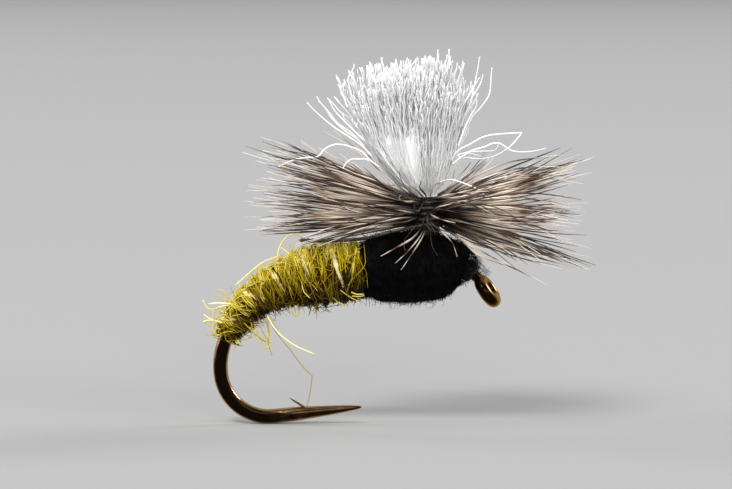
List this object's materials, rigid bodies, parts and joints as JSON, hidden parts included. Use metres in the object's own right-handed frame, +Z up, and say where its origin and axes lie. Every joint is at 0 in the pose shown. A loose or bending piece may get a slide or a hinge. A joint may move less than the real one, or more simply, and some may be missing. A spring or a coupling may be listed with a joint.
{
  "type": "dry fly",
  "caption": "Parachute dry fly: curved barbed hook, ribbed olive body, black thorax, upright white yarn post with a feather hackle wound flat round its foot.",
  "frame": {"origin": "centre of the hook's eye", "axes": "+X forward, from the bend towards the eye; +Z up along the white post; +Y to the fly's left, square to the plane of the hook"},
  "size_m": [0.0136, 0.012, 0.0133],
  "materials": {
    "hook_wire": "bronzed carbon steel wire, glossy",
    "tying_thread": "black waxed tying thread",
    "olive_dubbing": "spiky yellow-olive fur, browner underneath",
    "rib_strand": "pale straw strand",
    "black_dubbing": "fuzzy black fur",
    "white_yarn": "combed white polypropylene yarn",
    "feather_quill": "dark feather quill",
    "feather_barbs": "barred cream and brown feather barbs",
    "grey_fluff": "curly grey fluff"
  },
  "bodies": {
    "root": {"hook": "hook_wire", "thread_underbody": "tying_thread", "head_thread_wraps": "tying_thread", "front_tie_wraps": "tying_thread", "rear_tie_wraps": "tying_thread", "post_thread_wraps": "tying_thread", "post_yarn": "white_yarn", "abdomen_dubbing": "olive_dubbing", "abdomen_rib": "rib_strand", "thorax_dubbing": "black_dubbing", "hackle_quill": "feather_quill", "head_fluff": "grey_fluff", "hackle_barbs_01": "feather_barbs", "hackle_barbs_02": "feather_barbs", "hackle_barbs_03": "feather_barbs", "hackle_barbs_04": "feather_barbs", "hackle_barbs_05": "feather_barbs", "hackle_barbs_06": "feather_barbs", "hackle_barbs_07": "feather_barbs", "hackle_barbs_08": "feather_barbs", "hackle_barbs_09": "feather_barbs", "hackle_barbs_10": "feather_barbs", "hackle_barbs_11": "feather_barbs", "hackle_barbs_12": "feather_barbs", "hackle_barbs_13": "feather_barbs", "hackle_barbs_14": "feather_barbs", "hackle_barbs_15": "feather_barbs", "hackle_barbs_16": "feather_barbs", "hackle_barbs_17": "feather_barbs", "hackle_barbs_18": "feather_barbs", "hackle_barbs_19": "feather_barbs", "hackle_barbs_20": "feather_barbs", "hackle_barbs_21": "feather_barbs", "hackle_barbs_22": "feather_barbs", "hackle_barbs_23": "feather_barbs", "hackle_barbs_24": "feather_barbs"}
  },
  "joints": []
}
